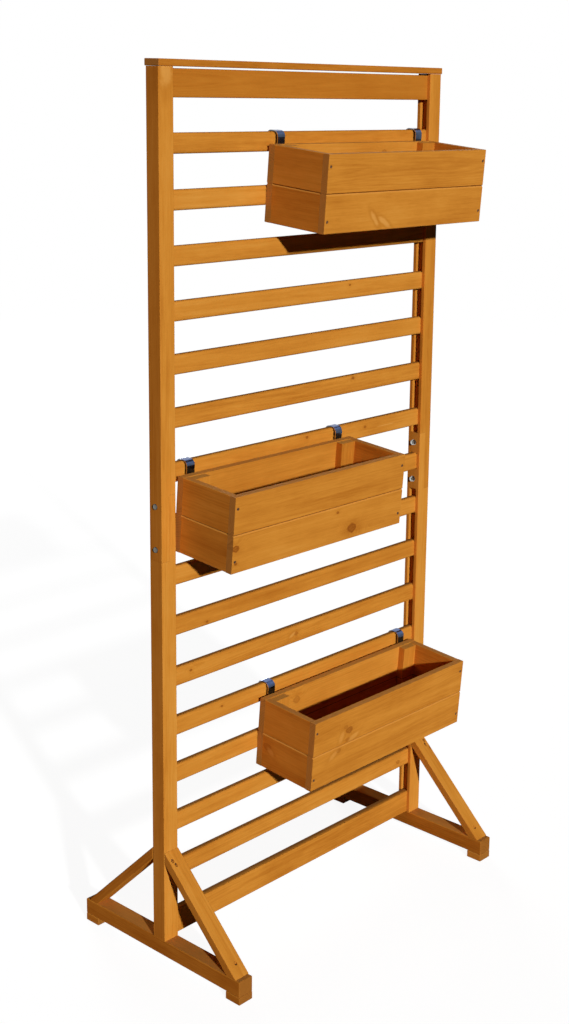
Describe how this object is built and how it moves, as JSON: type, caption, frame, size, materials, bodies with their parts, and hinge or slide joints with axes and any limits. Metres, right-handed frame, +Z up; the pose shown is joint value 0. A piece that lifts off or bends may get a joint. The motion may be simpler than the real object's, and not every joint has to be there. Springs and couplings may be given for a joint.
{
  "type": "trellis planter",
  "caption": "Free-standing slatted timber screen on braced feet, with open planter boxes that hang from its slats on bent metal hooks.",
  "frame": {"origin": "middle of the footprint, on the ground", "axes": "+Z up; X along the slats; the boxes hang on the -Y side; +X is to the right for someone who looks at the boxes"},
  "size_m": [0.8188, 0.468, 1.8],
  "materials": {
    "pine_front": "honey-brown glaze, satin, lit faces",
    "pine_side": "honey-brown glaze, satin",
    "pine_dark": "honey-brown glaze over end grain and sawn faces, satin",
    "steel": "zinc plated",
    "chrome": "bright plated"
  },
  "bodies": {
    "screen": {"left_post_lower": "pine_front", "left_post_upper": "pine_front", "right_post_lower": "pine_front", "right_post_upper": "pine_front", "top_cap": "pine_dark", "top_rail": "pine_side", "bottom_rail": "pine_side", "slat_01": "pine_front", "slat_02": "pine_front", "slat_03": "pine_front", "slat_04": "pine_front", "slat_05": "pine_front", "slat_06": "pine_front", "slat_07": "pine_front", "slat_08": "pine_front", "slat_09": "pine_front", "slat_10": "pine_front", "slat_11": "pine_front", "slat_12": "pine_front", "slat_13": "pine_front", "slat_14": "pine_front", "slat_15": "pine_front", "left_foot_beam": "pine_side", "left_front_foot_pad": "pine_dark", "left_front_brace": "pine_front", "left_rear_foot_pad": "pine_dark", "left_rear_brace": "pine_front", "left_lower_splice_bolt": "steel", "left_upper_splice_bolt": "steel", "right_foot_beam": "pine_side", "right_front_foot_pad": "pine_dark", "right_front_brace": "pine_front", "right_rear_foot_pad": "pine_dark", "right_rear_brace": "pine_front", "right_lower_splice_bolt": "steel", "right_upper_splice_bolt": "steel"},
    "upper_planter": {"upper_planter_front_top_board": "pine_front", "upper_planter_front_bottom_board": "pine_front", "upper_planter_back_wall": "pine_side", "upper_planter_left_end_wall": "pine_dark", "upper_planter_right_end_wall": "pine_dark", "upper_planter_floor": "pine_dark", "upper_planter_left_hook": "chrome", "upper_planter_right_hook": "chrome"},
    "middle_planter": {"middle_planter_front_top_board": "pine_front", "middle_planter_front_bottom_board": "pine_front", "middle_planter_back_wall": "pine_side", "middle_planter_left_end_wall": "pine_dark", "middle_planter_right_end_wall": "pine_dark", "middle_planter_floor": "pine_dark", "middle_planter_left_hook": "chrome", "middle_planter_right_hook": "chrome"},
    "lower_planter": {"lower_planter_front_top_board": "pine_front", "lower_planter_front_bottom_board": "pine_front", "lower_planter_back_wall": "pine_side", "lower_planter_left_end_wall": "pine_dark", "lower_planter_right_end_wall": "pine_dark", "lower_planter_floor": "pine_dark", "lower_planter_left_hook": "chrome", "lower_planter_right_hook": "chrome"}
  },
  "joints": [
    {"name": "upper_planter_lift_off", "type": "slide", "parent": "screen", "child": "upper_planter", "axis": [0, -0.0785, 0.9969], "range_m": [0, 0.045]},
    {"name": "middle_planter_lift_off", "type": "slide", "parent": "screen", "child": "middle_planter", "axis": [0, -0.0785, 0.9969], "range_m": [0, 0.045]},
    {"name": "lower_planter_lift_off", "type": "slide", "parent": "screen", "child": "lower_planter", "axis": [0, -0.0785, 0.9969], "range_m": [0, 0.045]}
  ]
}
